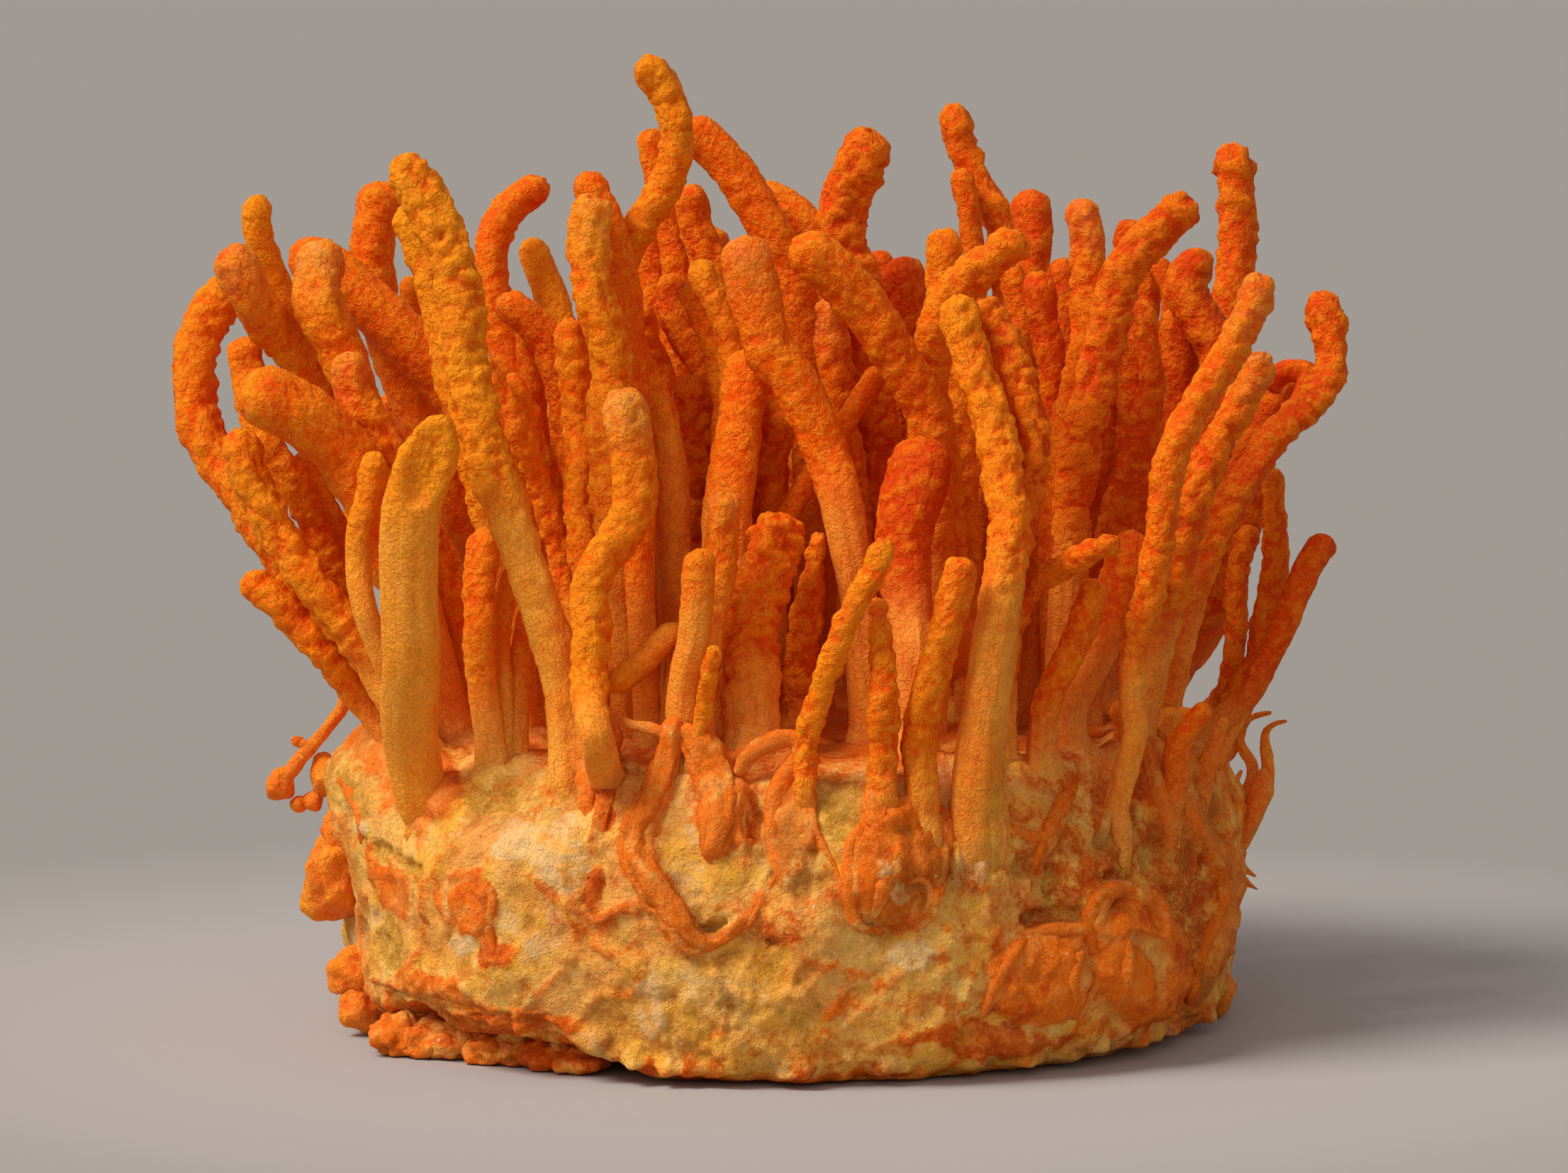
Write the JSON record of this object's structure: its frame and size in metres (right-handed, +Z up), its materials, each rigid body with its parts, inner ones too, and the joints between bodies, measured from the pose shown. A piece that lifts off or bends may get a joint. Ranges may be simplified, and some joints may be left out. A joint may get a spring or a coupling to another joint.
{
  "type": "cordyceps fungus",
  "caption": "Cultivated cordyceps: a dense bunch of orange, pimple-tipped clubs growing from a round pale cake of grain and mycelium.",
  "frame": {"origin": "middle of the cake's flat underside", "axes": "+Z up, the way the clubs grow; the side that the picture shows faces -Y; X is the widest way"},
  "size_m": [0.1024, 0.0865, 0.0853],
  "materials": {
    "mycelium": "pale yellow, felted mycelium over grain, with orange and olive patches",
    "club": "saturated orange, matte, pimpled at the tip, smooth and paler at the foot"
  },
  "bodies": {
    "root": {"cake": "mycelium", "club_centre": "club", "club_centre_right": "club", "club_front_bulb": "club", "club_front_flat": "club", "club_front_pointed": "club", "club_front_right_small": "club", "club_front_right_smooth": "club", "club_front_short": "club", "club_front_tall_left": "club", "club_front_tall_right": "club", "club_front_trunk": "club", "club_front_twisted": "club", "club_front_wavy": "club", "club_left_arc": "club", "club_left_behind": "club", "club_left_bulb": "club", "club_rear_diagonal": "club", "club_right_forward": "club", "club_right_lying": "club", "club_right_rough": "club", "club_right_stub": "club", "club_tallest": "club", "tuft_back_1": "club", "tuft_back_2": "club", "tuft_back_3": "club", "tuft_back_4": "club", "tuft_back_5": "club", "tuft_back_6": "club", "tuft_back_7": "club", "tuft_back_8": "club", "tuft_behind_bulb": "club", "tuft_centre_rough": "club", "tuft_centre_trunk": "club", "tuft_dark_tip": "club", "tuft_front_left_small": "club", "tuft_front_middle": "club", "tuft_front_stub": "club", "tuft_left_centre": "club", "tuft_left_front": "club", "tuft_left_inner": "club", "tuft_left_low": "club", "tuft_left_pink": "club", "tuft_left_shoulder": "club", "tuft_left_thin": "club", "tuft_left_upper": "club", "tuft_middle_dark": "club", "tuft_rear_arch": "club", "tuft_rear_centre": "club", "tuft_rear_left": "club", "tuft_rear_round_right": "club", "tuft_rear_small_right": "club", "tuft_rear_tall_right": "club", "tuft_right_bent": "club", "tuft_right_blunt": "club", "tuft_right_brown_tip": "club", "tuft_right_crossed": "club", "tuft_right_dark": "club", "tuft_right_edge": "club", "tuft_striped_trunk": "club"}
  },
  "joints": []
}
